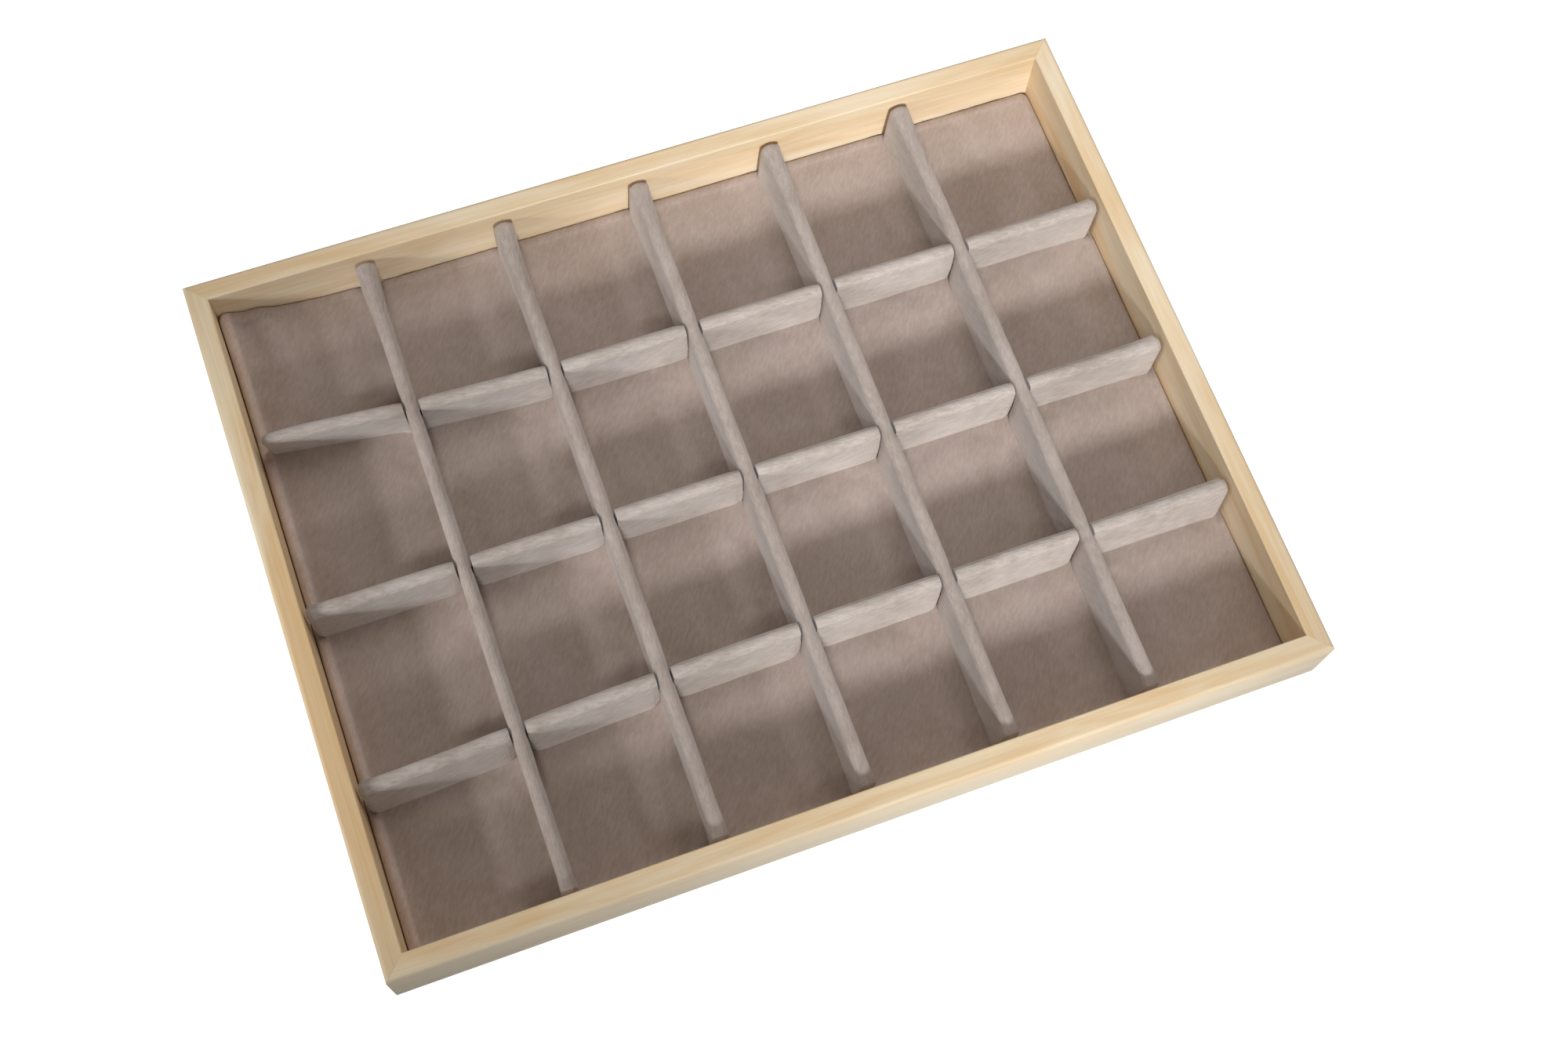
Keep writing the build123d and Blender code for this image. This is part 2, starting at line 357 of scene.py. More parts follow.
# Painted highlight: the top 1.8 mm of each divider is coloured paler, for the light on the rounded tops.
HIGHLIGHT_FROM = DIVIDER_TOP - 1.8 * MM
divider_velvet_x = velvet(
    "divider_velvet_x", (0.11, 1.0, 1.0), (0, NAP_TILT, NAP_TURN),
    (0.42, 0.352, 0.306), 0.22, ("Z", HIGHLIGHT_FROM, 1.5 * MM, 1.08), 0.3,
)
# Painted shade: the cross dividers' velvet is given a darker colour than the long ones', though both are
# one cloth, for the duller light on their faces.
divider_velvet_y = velvet(
    "divider_velvet_y", (1.0, 0.11, 1.0), (NAP_TILT, 0, NAP_TURN),
    (0.385, 0.31, 0.265), 0.19, ("Z", HIGHLIGHT_FROM, 1.5 * MM, 1.02), 0.3,
)


def tree_input(tree, name, kind="NodeSocketFloat"):
    """A named input of a geometry tree."""
    return tree.interface.new_socket(name=name, in_out="INPUT", socket_type=kind)


def sleeve_tree():
    """A slotted strip that stands on its edge, with a rounded top, slanted ends and soft sides.

    It is a box of rows and columns whose points are moved: they gather at the slots' edges,
    follow the slots' floors or roofs, and wander a little, as cloth over card does.
    """
    tree = bpy.data.node_groups.new("divider_strip", "GeometryNodeTree")
    for name in (
        "Length", "Slant", "Thickness", "Foot", "Top", "Top Round", "Corner Round", "Slot Count",
        "Slot Pitch", "Slot Shift", "Slot Skew", "Slot Width", "Slot Floor", "Slot Roof", "Pinch",
        "Ripple", "Fullness", "Far Fullness", "Lean", "End Lean", "Flare", "Flare Reach", "Seed",
        "Turn", "X", "Y",
    ):
        tree_input(tree, name)
    tree_input(tree, "Material", "NodeSocketMaterial")
    tree.interface.new_socket(name="Geometry", in_out="OUTPUT", socket_type="NodeSocketGeometry")
    given = tree.nodes.new("NodeGroupInput").outputs

    def m(operation, *values):
        return maths(tree, operation, *values)

    def product(*values):
        result = values[0]
        for value in values[1:]:
            result = m("MULTIPLY", result, value)
        return result

    counts = (SLEEVE_COLUMNS, SLEEVE_TOP_ROWS, SLEEVE_ROWS)
    box = add_node(tree, "GeometryNodeMeshCube", ((1, 1, 1), *counts))
    position = tree.nodes.new("GeometryNodeInputPosition").outputs[0]
    x, y, z = add_node(tree, "ShaderNodeSeparateXYZ", (position,)).outputs

    half_length = product(given["Length"], 0.5)
    along = product(x, given["Length"])
    middle_slot = product(m("SUBTRACT", given["Slot Count"], 1.0), 0.5)
    offset = m("SUBTRACT", along, given["Slot Shift"])
    nearest = m("ROUND", m("ADD", m("DIVIDE", offset, given["Slot Pitch"]), middle_slot))
    index = m("MINIMUM", m("MAXIMUM", nearest, 0.0), m("SUBTRACT", given["Slot Count"], 1.0))
    places = m("SUBTRACT", index, middle_slot)
    skewed = m("ADD", given["Slot Shift"], product(places, places, given["Slot Skew"]))
    slot_at = m("ADD", product(places, given["Slot Pitch"]), skewed)
    signed = m("SUBTRACT", along, slot_at)
    away = m("ABSOLUTE", signed)
    half_slot = product(given["Slot Width"], 0.5)
    step = m("DIVIDE", given["Length"], SLEEVE_COLUMNS - 1.0)
    beyond = m("GREATER_THAN", away, half_slot)
    near_slot = m("GREATER_THAN", away, m("SUBTRACT", half_slot, step))
    on_inner = product(near_slot, m("SUBTRACT", 1.0, beyond))
    on_outer = product(beyond, m("LESS_THAN", away, m("ADD", half_slot, step)))
    free = product(away, m("SUBTRACT", m("SUBTRACT", 1.0, on_inner), on_outer))
    inner = product(on_inner, m("SUBTRACT", half_slot, SLOT_LIP))
    outer = product(on_outer, m("ADD", half_slot, SLOT_LIP))
    gathered = m("ADD", m("ADD", free, inner), outer)
    in_slot = m("LESS_THAN", gathered, half_slot)
    past = m("MAXIMUM", m("SUBTRACT", gathered, half_slot), 0.0)
    pinch = m("EXPONENT", m("DIVIDE", past, -PINCH_REACH))
    along = m("ADD", slot_at, product(m("SIGN", signed), gathered))

    to_end = m("MAXIMUM", m("SUBTRACT", half_length, m("ABSOLUTE", along)), 0.0)
    end_share = m("MINIMUM", m("DIVIDE", to_end, END_GATHER), 1.0)
    to_end = product(to_end, m("POWER", end_share, END_GATHER_POWER))

    open_above = m("GREATER_THAN", given["Slot Roof"], given["Top"])
    shoulder = m("MULTIPLY_ADD", open_above, 1 - CLOSED_SHOULDER, CLOSED_SHOULDER)
    height = m("SUBTRACT", given["Top"], product(shoulder, given["Pinch"], pinch))
    in_corner = m("MAXIMUM", m("SUBTRACT", given["Corner Round"], to_end), 0.0)
    round_squared = product(given["Corner Round"], given["Corner Round"])
    corner_height = m("SQRT", m("SUBTRACT", round_squared, product(in_corner, in_corner)))
    height = m("SUBTRACT", height, m("SUBTRACT", given["Corner Round"], corner_height))

    def wander(frequency, side):
        """Smooth noise about zero that follows the strip, another on each side if side is set."""
        where = add_node(
            tree, "ShaderNodeCombineXYZ",
            (product(along, frequency), product(y, side), product(z, 0.7)),
        )
        noise = tree.nodes.new("ShaderNodeTexNoise")
        noise.noise_dimensions = "4D"
        tree.links.new(where.outputs[0], noise.inputs["Vector"])
        tree.links.new(given["Seed"], noise.inputs["W"])
        noise.inputs["Scale"].default_value = 1.0
        noise.inputs["Detail"].default_value = 2.0
        return product(m("SUBTRACT", noise.outputs["Fac"], 0.5), 2.0)

    clear_of_slot = m("SUBTRACT", 1.0, pinch)
    height = m("ADD", height, product(wander(TOP_WAVES, 0.0), given["Ripple"], clear_of_slot))
    floor_share = product(in_slot, open_above)
    over_board = product(height, m("SUBTRACT", 1.0, floor_share))
    height = m("ADD", over_board, product(given["Slot Floor"], floor_share))
    roof_share = product(in_slot, m("SUBTRACT", 1.0, open_above))
    foot = m("ADD", given["Foot"], product(m("SUBTRACT", given["Slot Roof"], given["Foot"]), roof_share))

    share_up = m("ADD", z, 0.5)
    on_top = m("GREATER_THAN", share_up, 0.999)
    dome = product(on_top, given["Top Round"], m("COSINE", product(y, math.pi)))
    wall = product(share_up, m("SUBTRACT", m("SUBTRACT", height, given["Top Round"]), foot))
    up = m("ADD", m("ADD", foot, wall), dome)
    across_dome = product(on_top, m("SINE", product(y, math.pi)))
    across_wall = product(m("SUBTRACT", 1.0, on_top), product(y, 2.0))
    across = m("ADD", across_dome, across_wall)

    in_nose = m("DIVIDE", m("MAXIMUM", m("SUBTRACT", NOSE_LENGTH, to_end), 0.0), NOSE_LENGTH)
    nose = m("MAXIMUM", m("SQRT", m("SUBTRACT", 1.0, product(in_nose, in_nose))), NOSE_LEAST)
    narrowed = m("SUBTRACT", 1.0, product(pinch, given["Pinch"], PINCH_NARROWING))
    waves = product(wander(SIDE_WAVES, 3.0), given["Ripple"], clear_of_slot, RIPPLE_SWELL)
    swell = m("ADD", 1.0, waves)
    far = m("GREATER_THAN", along, 0.0)
    more = m("SUBTRACT", given["Far Fullness"], given["Fullness"])
    gathering = m("ADD", given["Fullness"], product(more, far))
    decay = m("MULTIPLY_ADD", far, NEAR_FOLD_REACH - FAR_FOLD_REACH, -NEAR_FOLD_REACH)
    folded = m("ADD", 1.0, product(gathering, m("EXPONENT", m("DIVIDE", to_end, decay))))
    half_thick = product(given["Thickness"], 0.5, nose, narrowed, swell, folded)
    bend = product(wander(BEND_WAVES, 0.0), given["Ripple"], clear_of_slot, RIPPLE_BEND)
    low_share = m("DIVIDE", m("SUBTRACT", given["Top"], up), m("SUBTRACT", given["Top"], given["Foot"]))
    free_to_lean = m("SUBTRACT", 1.0, product(pinch, PINCH_UPRIGHT))
    from_end = m("DIVIDE", m("MAXIMUM", m("ADD", along, half_length), 0.0), given["Flare Reach"])
    flare_left = m("EXPONENT", product(m("POWER", from_end, FLARE_POWER), -1.0))
    flaring = product(given["Flare"], flare_left)
    lean = m("ADD", given["Lean"], product(given["End Lean"], flare_left))
    leaning = product(lean, low_share, free_to_lean)
    sideways = m("ADD", m("ADD", product(across, half_thick), bend), m("ADD", leaning, flaring))

    near_end = m("SUBTRACT", 1.0, m("MINIMUM", m("DIVIDE", to_end, END_DRAW), 1.0))
    drawn_in = product(given["Slant"], low_share, near_end)
    reach = m("SUBTRACT", m("SUBTRACT", half_length, to_end), drawn_in)
    lengthways = product(m("SIGN", along), reach)
    moved = add_node(tree, "ShaderNodeCombineXYZ", (lengthways, sideways, up))
    shaped = add_node(tree, "GeometryNodeSetPosition", (box.outputs["Mesh"], None, moved.outputs[0]))
    turn = add_node(tree, "ShaderNodeCombineXYZ", (None, None, given["Turn"]))
    shift = add_node(tree, "ShaderNodeCombineXYZ", (given["X"], given["Y"], None))
    placed = tree.nodes.new("GeometryNodeTransform")
    tree.links.new(shaped.outputs[0], placed.inputs["Geometry"])
    tree.links.new(turn.outputs[0], placed.inputs["Rotation"])
    tree.links.new(shift.outputs[0], placed.inputs["Translation"])
    bend_here = tree.nodes.new("GeometryNodeInputMeshEdgeAngle").outputs["Unsigned Angle"]
    gentle = m("LESS_THAN", bend_here, SHARP_EDGE)
    smooth = tree.nodes.new("GeometryNodeSetShadeSmooth")
    smooth.domain = "EDGE"
    tree.links.new(placed.outputs[0], smooth.inputs["Geometry"])
    tree.links.new(gentle, smooth.inputs["Shade Smooth"])
    real = add_node(tree, "GeometryNodeRealizeInstances", (smooth.outputs[0],))
    finish = tree.nodes.new("GeometryNodeSetMaterial")
    tree.links.new(real.outputs[0], finish.inputs["Geometry"])
    tree.links.new(given["Material"], finish.inputs["Material"])
    tree.links.new(finish.outputs[0], tree.nodes.new("NodeGroupOutput").inputs[0])
    return tree


divider_strip = sleeve_tree()


def grown(name, tree, values):
    """The plain mesh object that a geometry tree makes of these input values."""
    seed_mesh = bpy.data.meshes.new(name)
    maker = bpy.data.objects.new(name + "_maker", seed_mesh)
    bpy.context.scene.collection.objects.link(maker)
    modifier = maker.modifiers.new("shape", "NODES")
    modifier.node_group = tree
    for socket in tree.interface.items_tree:
        if socket.in_out == "INPUT" and socket.name in values:
            modifier[socket.identifier] = values[socket.name]
    made = maker.evaluated_get(bpy.context.evaluated_depsgraph_get())
    mesh = bpy.data.meshes.new_from_object(made)
    bpy.data.objects.remove(maker)
    piece = bpy.data.objects.new(name, mesh)
    bpy.context.scene.collection.objects.link(piece)
    return piece


def divider(name, number, length, seed, body, cover, fullness, far_fullness, **where):
    """A divider's velvet sleeve and the card board inside it, on their body.

    fullness and far_fullness are the share by which the folded cloth thickens the two ends.
    """
    wrap = (SLEEVE_THICKNESS - BOARD_THICKNESS) / 2
    common = {"Seed": seed, "Slot Width": SLOT_WIDTH, **where}
    sleeve = grown(
        f"{name}_{number}_sleeve", divider_strip,
        {**common, "Length": length, "Slant": END_SLANT, "Thickness": SLEEVE_THICKNESS, "Foot": SEAT,
         "Top": DIVIDER_TOP, "Top Round": 2.1 * MM, "Corner Round": 2.5 * MM, "Pinch": 0.6 * MM,
         "Ripple": 0.32 * MM, "Fullness": fullness, "Far Fullness": far_fullness, "Material": cover},
    )
    board = grown(
        f"{name}_{number}_board", divider_strip,
        {**common, "Length": length - 2 * wrap, "Slant": END_SLANT, "Thickness": BOARD_THICKNESS,
         "Foot": SEAT + wrap, "Top": DIVIDER_TOP - wrap, "Top Round": 0.05 * MM,
         "Corner Round": 1.0 * MM, "Pinch": 0.0, "Ripple": 0.0, "Fullness": 0.0, "Far Fullness": 0.0,
         "Material": grey_board},
    )
    for piece, node, slot in (
        (sleeve, f"{name}_{number}_velvet", "divider_velvet"),
        (board, f"{name}_{number}_core", "grey_board"),
    ):
        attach(piece, body)
        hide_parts(node)


for number, trim in enumerate(LONG_TRIMS, start=1):
    divider(
        "long_divider", number, LONG_LENGTH - trim, 10.0 + number, "long_dividers",
        divider_velvet_x, LONG_FULLNESS[number - 1], LONG_FAR_FULLNESS,
        **{"Slot Count": float(CROSS_COUNT), "Slot Pitch": CROSS_PITCH, "Slot Shift": -trim / 2,
           "Slot Skew": 0.0, "Slot Floor": SLOT_MEETING - SLOT_CLEARANCE / 2,
           "Slot Roof": DIVIDER_TOP + SLOT_CLEARANCE, "Lean": LONG_LEANS[number - 1],
           "End Lean": LONG_END_LEANS[number - 1], "Flare": FLARES[number - 1],
           "Flare Reach": FLARE_REACHES[number - 1], "Turn": 0.0, "X": trim / 2,
           "Y": LONG_LINES[number - 1]},
    )
for number in range(1, CROSS_COUNT + 1):
    x = cross_line(number)
    front, middle, rear = (float(long_line(n, x)) for n in range(1, LONG_COUNT + 1))
    divider(
        "cross_divider", number, CROSS_LENGTH, 20.0 + number, f"cross_divider_{number}",
        divider_velvet_y, CROSS_FULLNESS, CROSS_FAR_FULLNESS,
        **{"Slot Count": float(LONG_COUNT), "Slot Pitch": (rear - front) / 2, "Slot Shift": middle,
           "Slot Skew": (front + rear) / 2 - middle, "Slot Floor": SEAT - SLOT_CLEARANCE,
           "Slot Roof": SLOT_MEETING + SLOT_CLEARANCE / 2, "Lean": -CROSS_LEANS[number - 1],
           "End Lean": 0.0, "Flare": 0.0, "Flare Reach": 1.0, "Turn": math.radians(90),
           "X": x, "Y": 0.0},
    )


# Pad. A card and a thin foam sheet in velvet, which rolls over the foam's edge as a soft
# border and turns under the card. The dividers press channels into it, so each compartment
# is a low cushion. It lies loose on the base, and its back left corner has curled up.
PAD_LOW, PAD_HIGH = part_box("pad_velvet")
CARD_LOW, CARD_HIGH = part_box("pad_card")
PAD_SKIN = CARD_LOW.z - PAD_LOW.z
VELVET_WALL = 0.9 * PAD_SKIN
PAD_SPACING = 2.2 * MM
CHANNEL = 3.0 * MM
CHANNEL_SLOPE = 3
CHANNEL_LEAN = 0.8
BORDER = 3.6 * MM
BORDER_IN = Vector((BORDER, BORDER))
CROWN = 0.35 * MM
CLOTH_FRAMES = 20
MOST_SWELL = 0.4 * MM
SWELL_MARGIN, SWELL_STEPS = 0.2 * MM, 4
MERGE_WITHIN = 0.002 * MM
CURL_HEIGHT = 9.5 * MM
CURL_FROM_LEFT, CURL_FROM_BACK = 26 * MM, 18 * MM
CURL_REACH = 36 * MM
FOLD_LINE, FOLD_SKEW = 11 * MM, 0.12
DIP_DEPTH, DIP_AT, DIP_WIDTH = 2.4 * MM, -3.5 * MM, 2.4 * MM
FOLD_HEIGHT, FOLD_AT, FOLD_WIDTH = 1.9 * MM, 3.5 * MM, 3.6 * MM
FOLD_FROM_BACK, FOLD_LENGTH = 8 * MM, 14 * MM
END_SPREAD = 24 * MM
ROLL_HEIGHT = 1.7 * MM
ROLL_WIDTH, ROLL_MORE_FRONT, ROLL_MORE_BACK = 1.9 * MM, 1.7 * MM, 1.0 * MM
CREASE_DEPTH = 0.6 * MM
SHIFT_LEFT, SHIFT_RIGHT, SHIFT_BACK = -0.6 * MM, 2.8 * MM, 1.65 * MM
REACH_LEFT, REACH_RIGHT, REACH_BACK = 8 * MM, 16 * MM, 16 * MM
CORNER_ROUND = 2.5 * MM
ROLL = np.array([
    (3.6, 0.02), (3.15, 0.4), (2.5, 0.9), (1.7, 1.1), (0.85, 0.9), (0.25, 0.3), (0.0, -0.6),
]) * MM
LOOSE_STEPS = 6
TURN_UNDER = np.array([(0.0, 0.9), (0.3, 0.25), (1.0, 0.0), (4.0, 0.0), (7.0, 0.0), (10.0, 0.0)]) * MM
FOAM_ROLL = np.array([
    (3.6, 0.0), (3.1, 0.4), (2.3, 0.85), (1.5, 0.7), (0.95, 0.1), (0.7, -0.4),
]) * MM
velvet_edge = np.vstack([ROLL + (0, SEAT), TURN_UNDER + (0, PAD_LOW.z)])
foam_edge = np.vstack([FOAM_ROLL + (0, SEAT - PAD_SKIN), [(0.7 * MM, CARD_HIGH.z)]])


def long_foot(number, x):
    """The Y of a long divider's foot, counted from the front, at this X."""
    lean = LONG_LEANS[number - 1] + LONG_END_LEANS[number - 1] * flare_share(number, x)
    return long_line(number, x) + CHANNEL_LEAN * lean


def bump_at(distance, width):
    """1 at no distance, falling smoothly to 0 over a few widths."""
    return np.exp(-((distance / width) ** 2))


def settled(x, y, z, steps):
    """A pad sheet's points once it lies in the tray, curled up against the rails in one corner.

    steps is how far out into the border a point is, and 0 on the cushions and channels.
    """
    to_left = np.clip(1 - (x - PAD_LOW.x) / REACH_LEFT, 0, 1)
    to_right = np.clip(1 - (PAD_HIGH.x - x) / REACH_RIGHT, 0, 1)
    to_back = np.clip(1 - (PAD_HIGH.y - y) / REACH_BACK, 0, 1)
    from_left, from_front, from_back = x - PAD_LOW.x, y - PAD_LOW.y, PAD_HIGH.y - y
    loose = steps <= LOOSE_STEPS
    at_front, at_back = bump_at(from_front, END_SPREAD), bump_at(from_back, END_SPREAD)
    width = ROLL_WIDTH + ROLL_MORE_FRONT * at_front + ROLL_MORE_BACK * at_back
    roll = ROLL_HEIGHT * bump_at(from_left - 0.9 * width - 0.4 * MM, width)
    crease = CREASE_DEPTH * bump_at(from_left - 2.6 * width, 0.8 * width) * (steps == 0)
    from_corner = np.hypot(from_left / CURL_FROM_LEFT, from_back / CURL_FROM_BACK)
    curl = CURL_HEIGHT * np.exp(-(from_corner**1.5))
    from_fold = from_left - FOLD_LINE - FOLD_SKEW * from_back
    dip = DIP_DEPTH * bump_at(from_fold - DIP_AT, DIP_WIDTH) * at_back * (steps == 0)
    fold = FOLD_HEIGHT * bump_at(from_fold - FOLD_AT, FOLD_WIDTH)
    fold = fold * bump_at(from_back - FOLD_FROM_BACK, FOLD_LENGTH)
    x = x + SHIFT_RIGHT * to_right**2 + SHIFT_LEFT * to_left**2
    y = y + SHIFT_BACK * to_back**2
    return x, y, z + np.where(loose, roll - crease + curl + fold - dip, 0)


def grid_lines(edges, border):
    """The grid lines across spans with these edges, where every other span is a channel.

    Each line is its span's number, its share of the span and its steps into the border.
    """
    lines = []
    for span, (start, stop) in enumerate(zip(edges[:-1], edges[1:])):
        pieces = 2 if span % 2 else round((stop - start) / PAD_SPACING)
        first = 0 if span == 0 else 1
        lines += [(span, step / pieces, 0) for step in range(first, pieces + 1)]
    before = [(0, 0, -step) for step in range(border, 0, -1)]
    after = [(span, 1, step) for step in range(1, border + 1)]
    return np.array(before + lines + after)


def pad_points(edge, skin, rise):
    """The points of a sheet over the pad as a grid, and which of them are free to swell.

    edge is a list of insets and heights from the border's inner line outwards and down,
    skin is how deep the sheet lies under the velvet's face, and rise is the cushions' crown.
    """
    inner_low, inner_high = PAD_LOW.xy + BORDER_IN, PAD_HIGH.xy - BORDER_IN
    cross_lines = [cross_line(n) + CROSS_LEANS[n - 1] * CHANNEL_LEAN for n in range(1, CROSS_COUNT + 1)]
    sides = [line + side for line in cross_lines for side in (-CHANNEL, CHANNEL)]
    x_edges = np.array([inner_low.x, *sides, inner_high.x])
    xs = grid_lines(x_edges, len(edge) - 1)
    span = xs[:, 0].astype(int)
    x_line = x_edges[span] + (x_edges[span + 1] - x_edges[span]) * xs[:, 1]

    feet = [long_foot(number, x_line) for number in range(1, LONG_COUNT + 1)]
    sides = [foot + side for foot in feet for side in (-CHANNEL, CHANNEL)]
    y_edges = np.array([np.full(len(xs), inner_low.y), *sides, np.full(len(xs), inner_high.y)]).T
    ys = grid_lines(y_edges[0], len(edge) - 1)
    y_span = ys[:, 0].astype(int)
    y = y_edges[:, y_span] + (y_edges[:, y_span + 1] - y_edges[:, y_span]) * ys[None, :, 1]
    x = np.repeat(x_line[:, None], len(ys), 1)

    across = 2 * np.repeat(xs[:, 1][:, None], len(ys), 1) - 1
    deep = 2 * np.repeat(ys[:, 1][None, :], len(xs), 0) - 1
    cushion = (1 - across**2) * (1 - deep**2)
    in_channel = (span % 2 == 1)[:, None] | (y_span % 2 == 1)[None, :]
    z = SEAT - skin + np.where(in_channel, 0, rise * np.clip(cushion, 0, 1) ** 0.5)

    step_x = np.abs(xs[:, 2])[:, None] + np.zeros((1, len(ys)))
    step_y = np.abs(ys[:, 2])[None, :] + np.zeros((len(xs), 1))
    steps = np.maximum(step_x, step_y).astype(int)
    out = BORDER - edge[steps, 0]
    reach = np.maximum(np.hypot(step_x, step_y), 1e-9)
    bend = np.maximum(out - (BORDER - CORNER_ROUND), 0)
    corner = (step_x > 0) & (step_y > 0)
    x_out = np.where(corner, out - bend + bend * step_x / reach, np.where(step_x > 0, out, 0))
    y_out = np.where(corner, out - bend + bend * step_y / reach, np.where(step_y > 0, out, 0))
    inset = edge[steps, 0]
    x = np.clip(x + np.sign(xs[:, 2])[:, None] * x_out, PAD_LOW.x + inset, PAD_HIGH.x - inset)
    y = np.clip(y + np.sign(ys[:, 2])[None, :] * y_out, PAD_LOW.y + inset, PAD_HIGH.y - inset)
    z = np.where(steps > 0, edge[steps, 1], z)

    x, y, z = settled(x, y, z, steps)
    to_channel = np.full(z.shape, 1.0)
    for line in cross_lines:
        to_channel = np.minimum(to_channel, np.abs(x - line))
    for number in range(1, LONG_COUNT + 1):
        to_channel = np.minimum(to_channel, np.abs(y - long_foot(number, x)))
    pressed = SEAT - skin + CHANNEL_SLOPE * np.maximum(to_channel - CHANNEL, 0)
    free = (to_channel > CHANNEL + SWELL_MARGIN) & (steps <= SWELL_STEPS)
    return np.stack([x, y, np.minimum(z, pressed)], 2), free


def sheet_piece(name, points, material):
    """An object with quads over a grid of points, smoothly shaded."""
    rows, columns = points.shape[:2]
    numbers = np.arange(rows * columns).reshape(rows, columns)
    quads = np.stack([numbers[:-1, :-1], numbers[1:, :-1], numbers[1:, 1:], numbers[:-1, 1:]], 2)
    mesh = bpy.data.meshes.new(name)
    mesh.from_pydata(points.reshape(-1, 3).tolist(), [], quads.reshape(-1, 4).tolist())
    mesh.materials.append(material)
    mesh.shade_smooth()
    piece = bpy.data.objects.new(name, mesh)
    bpy.context.scene.collection.objects.link(piece)
    return piece


def swell(piece):
    """Let the velvet swell over the foam as cloth, each point by less than MOST_SWELL.

    The channels, the turned edge and the curled corner are held. The sheet's doubled points
    are merged before this, because cloth with edges of no length doesn't move.
    """
    start = np.empty(len(piece.data.vertices) * 3)
    piece.data.vertices.foreach_get("co", start)
    cloth = piece.modifiers.new("cloth", "CLOTH")
    cloth.settings.quality = 5
    cloth.settings.mass = 0.02
    cloth.settings.tension_stiffness = 8
    cloth.settings.compression_stiffness = 8
    cloth.settings.bending_stiffness = 0.05
    cloth.settings.shrink_min = -0.025
    cloth.settings.vertex_group_mass = "held"
    cloth.settings.use_pressure = True
    cloth.settings.uniform_pressure_force = 4
    cloth.settings.effector_weights.gravity = 0
    cloth.collision_settings.use_collision = False
    for step in range(1, CLOTH_FRAMES + 1):
        bpy.context.scene.frame_set(step)
    made = piece.evaluated_get(bpy.context.evaluated_depsgraph_get())
    swollen = np.empty(len(start))
    made.data.vertices.foreach_get("co", swollen)
    piece.modifiers.remove(cloth)
    bpy.context.scene.frame_set(1)
    moved = (swollen - start).reshape(-1, 3)
    moved /= (1 + np.linalg.norm(moved, axis=1) / MOST_SWELL)[:, None]
    piece.data.vertices.foreach_set("co", start + moved.ravel())
    piece.data.update()


def tidied(piece, underside=None):
    """Merge a sheet's doubled points, after closing it with a flat underside at this height."""
    work = bmesh.new()
    work.from_mesh(piece.data)
    if underside is not None:
        copied = bmesh.ops.duplicate(work, geom=work.verts[:] + work.edges[:] + work.faces[:])["geom"]
        for part in copied:
            if isinstance(part, bmesh.types.BMVert):
                part.co.z = underside
        below = [part for part in copied if isinstance(part, bmesh.types.BMFace)]
        bmesh.ops.reverse_faces(work, faces=below)
    bmesh.ops.remove_doubles(work, verts=work.verts, dist=MERGE_WITHIN)
    bmesh.ops.dissolve_degenerate(work, edges=work.edges, dist=MERGE_WITHIN)
    work.to_mesh(piece.data)
    work.free()


def soft_foam():
    """Off-white foam with fine open cells, a little yellower in patches."""
    material, tree, shader = shader_tree("foam_cells")
    cells = stretched_noise(tree, (1.0, 1.0, 1.0), 1800, 3.0, 0.7)
    clouds = stretched_noise(tree, (1.0, 1.0, 1.0), 30, 2.0)
    body = ramp(tree, clouds, (0.3, (0.72, 0.68, 0.56)), (0.7, (0.8, 0.78, 0.7)))
    pits = ramp(tree, cells, (0.32, 0.72), (0.5, 1.0))
    tree.links.new(mix_colours(tree, 0.8, body, pits, "MULTIPLY"), shader.inputs["Base Color"])
    shader.inputs["Roughness"].default_value = 0.95
    bump(tree, shader, cells, 0.15 * MM)
    return material


foam = soft_foam()
# Painted highlight: the pad velvet within about 4 mm of the left edge is coloured 1.45 times paler, for
# the light that the raised roll there catches.
pad_velvet = velvet(
    "pad_velvet_pile", (1.0, 0.3, 1.0), (0, 0, math.radians(35)), (0.412, 0.312, 0.259), 0.15,
    ("X", PAD_LOW.x + 4.4 * MM, -1.2 * MM, 1.45), 0.6,
)
points, free = pad_points(velvet_edge, 0.0, CROWN)
pad_cover = sheet_piece("pad_cover", points, pad_velvet)
curled = np.hypot(points[..., 0] - PAD_LOW.x, PAD_HIGH.y - points[..., 1]) < CURL_REACH
held = pad_cover.vertex_groups.new(name="held")
held.add(np.flatnonzero((~free | curled).ravel()).tolist(), 1.0, "REPLACE")
tidied(pad_cover)
swell(pad_cover)
pad_cover.vertex_groups.clear()
wall = pad_cover.modifiers.new("wall", "SOLIDIFY")
wall.thickness = VELVET_WALL
wall.offset = -1

points, _ = pad_points(foam_edge, PAD_SKIN, CROWN)
foam_sheet = sheet_piece("foam_sheet", points, foam)
tidied(foam_sheet, CARD_HIGH.z)
for piece, node, slot, fill in (
    (pad_cover, "pad_velvet", "pad_velvet", 0.4),
    (foam_sheet, "pad_foam", "foam", 0.8),
):
    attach(piece, "pad")
    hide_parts(node)


# Studio. A white table with a pale surround. A lamp low in front lights the right two thirds
# of the tray, two low ones on the left light the rest, and a broad one above fills in.
def camera_white(tree, colour_socket, plain):
    """White to the camera and in reflections, and plain for the light that it gives."""
    path = tree.nodes.new("ShaderNodeLightPath").outputs
    seen = maths(tree, "MAXIMUM", path["Is Camera Ray"], path["Is Glossy Ray"])
    seen = maths(tree, "MAXIMUM", seen, path["Is Transmission Ray"])
    tree.links.new(mix_colours(tree, seen, plain, (1.0, 1.0, 1.0)), colour_socket)


world = bpy.data.worlds.new("studio")
world.use_nodes = True
bpy.context.scene.world = world
surround = world.node_tree.nodes["Background"]
camera_white(world.node_tree, surround.inputs["Color"], (0.168, 0.168, 0.168))

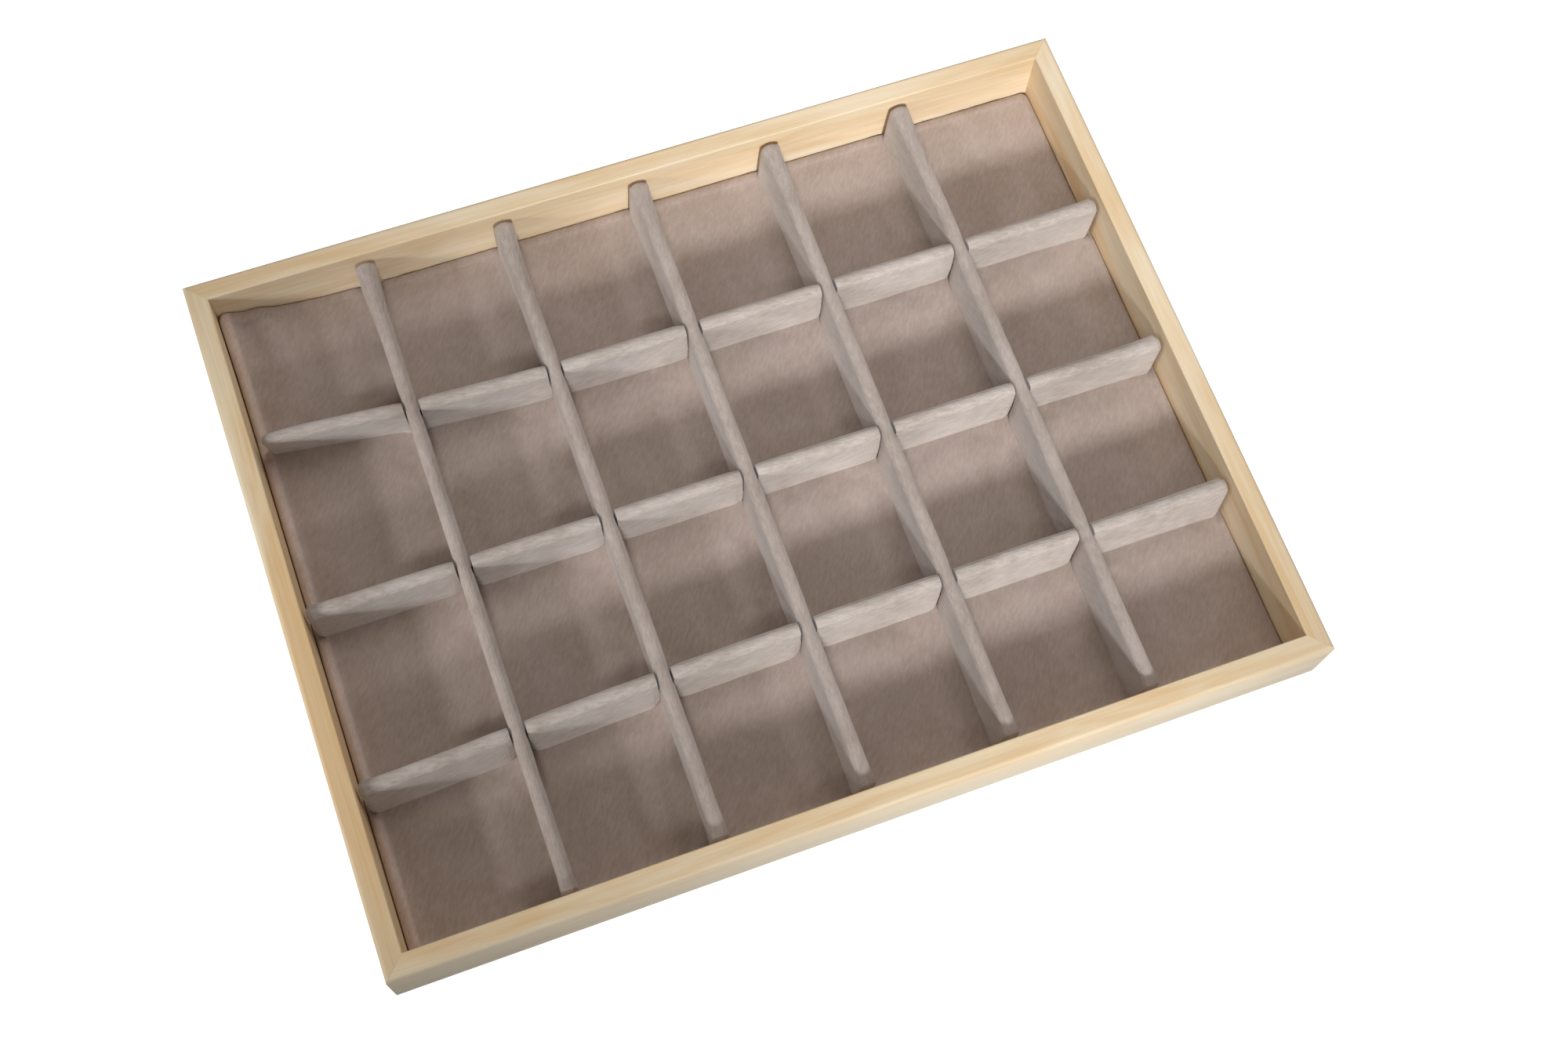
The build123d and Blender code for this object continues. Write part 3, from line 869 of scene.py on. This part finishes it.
FLOOR_SIZE = 6.0
FLOOR_TOP = -0.05 * MM
FLOOR_GLOW = 0.85
COOL_WHITE = (0.96, 1.0, 1.03)
floor_mesh = bpy.data.meshes.new("floor")
half = FLOOR_SIZE / 2
corners = [(x, y, FLOOR_TOP) for x, y in ((-half, -half), (half, -half), (half, half), (-half, half))]
floor_mesh.from_pydata(corners, [], [(0, 1, 2, 3)])
floor = bpy.data.objects.new("floor", floor_mesh)
bpy.context.scene.collection.objects.link(floor)
floor_material, floor_tree, floor_shader = shader_tree("white_table")
floor_shader.inputs["Base Color"].default_value = (0.8, 0.8, 0.8, 1)
floor_shader.inputs["Roughness"].default_value = 0.9
floor_shader.inputs["Specular IOR Level"].default_value = 0.0
floor_shader.inputs["Emission Color"].default_value = (1, 1, 1, 1)
camera_ray = floor_tree.nodes.new("ShaderNodeLightPath").outputs["Is Camera Ray"]
glow = maths(floor_tree, "MULTIPLY", camera_ray, FLOOR_GLOW)
floor_tree.links.new(glow, floor_shader.inputs["Emission Strength"])
floor_mesh.materials.append(floor_material)


def lamp(name, kind, where, at, power):
    """A lamp at one point that faces another."""
    light = bpy.data.lights.new(name, kind)
    light.energy = power
    body = bpy.data.objects.new(name, light)
    body.location = where
    body.rotation_mode = "QUATERNION"
    body.rotation_quaternion = (Vector(where) - Vector(at)).to_track_quat("Z", "Y")
    body.visible_camera = False
    bpy.context.scene.collection.objects.link(body)
    return light


def spot(name, where, at, power, reach, size):
    """A spot lamp that fades out smoothly at this distance round the place it faces."""
    light = lamp(name, "SPOT", where, at, power)
    light.color = COOL_WHITE
    light.spot_size = 2 * math.atan(reach / (Vector(where) - Vector(at)).length)
    light.spot_blend = 1.0
    light.shadow_soft_size = size


spot("front_lamp", (-0.123, -1.543, 0.817), (0.1, 0.045, 0), 144, 0.245, 0.12)
spot("left_lamp_low", (-1.616, -0.232, 0.681), (-0.3, 0, 0), 45, 0.25, 0.09)
spot("left_lamp_high", (-1.47, -0.55, 0.8), (-0.25, -0.03, 0), 56, 0.22, 0.1)
top_lamp = lamp("top_lamp", "AREA", (0.2, 0.2, 0.45), (0.05, 0.0, 0), 1.2)
top_lamp.size = 0.45

# Camera. It stands where the photograph was taken from, in front of the tray and above it,
# a little to the left and rolled.
CAMERA_AZIMUTH = math.radians(-27.5)
CAMERA_ELEVATION = math.radians(69.24)
CAMERA_ROLL = math.radians(7.93)
CAMERA_TARGET = Vector((5.18 * MM, -24.32 * MM, cad_high.z))
CAMERA_DISTANCE = 724.5 * MM
FOCAL_LENGTH = 46.09
camera_data = bpy.data.cameras.new("camera")
camera_data.lens = FOCAL_LENGTH
camera_data.sensor_width = 36
camera = bpy.data.objects.new("camera", camera_data)
back = Vector((
    math.sin(CAMERA_AZIMUTH) * math.cos(CAMERA_ELEVATION),
    -math.cos(CAMERA_AZIMUTH) * math.cos(CAMERA_ELEVATION),
    math.sin(CAMERA_ELEVATION),
))
level_right = Vector((math.cos(CAMERA_AZIMUTH), math.sin(CAMERA_AZIMUTH), 0))
level_up = back.cross(level_right)
right = math.cos(CAMERA_ROLL) * level_right + math.sin(CAMERA_ROLL) * level_up
up = math.cos(CAMERA_ROLL) * level_up - math.sin(CAMERA_ROLL) * level_right
turn = Matrix((right, up, back)).transposed().to_4x4()
camera.matrix_world = Matrix.Translation(CAMERA_TARGET + back * CAMERA_DISTANCE) @ turn
bpy.context.scene.collection.objects.link(camera)
bpy.context.scene.camera = camera
bpy.context.scene.view_settings.view_transform = "Standard"
